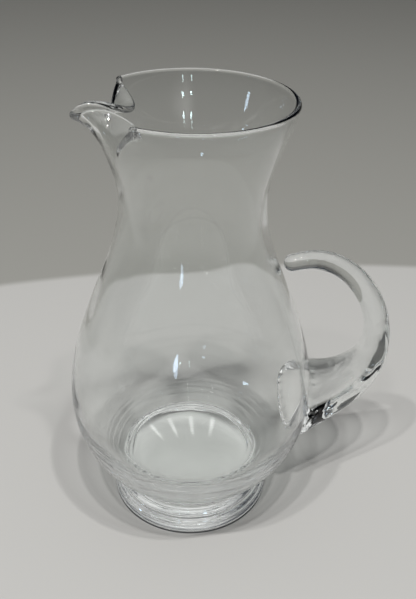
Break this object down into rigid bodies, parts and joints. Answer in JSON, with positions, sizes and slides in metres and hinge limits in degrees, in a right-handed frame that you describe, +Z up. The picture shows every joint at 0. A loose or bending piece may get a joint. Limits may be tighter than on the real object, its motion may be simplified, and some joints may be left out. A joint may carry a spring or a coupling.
{
  "type": "cocktail pitcher",
  "caption": "Clear glass cocktail pitcher with a round belly, narrow neck, pinched pouring lip, solid foot and an open-topped side handle.",
  "frame": {"origin": "middle of the foot's underside, on the axis of the bowl", "axes": "+Z up along the axis of the bowl, +X towards the handle, so the lip points along -X; +Y to the side"},
  "size_m": [0.1914, 0.141, 0.25],
  "materials": {
    "bowl_glass": "clear blown glass, fire polished",
    "foot_glass": "clear solid glass, ground and polished underneath",
    "handle_glass": "clear drawn solid glass, fire polished"
  },
  "bodies": {
    "root": {"bowl": "bowl_glass", "foot": "foot_glass", "handle": "handle_glass"}
  },
  "joints": []
}
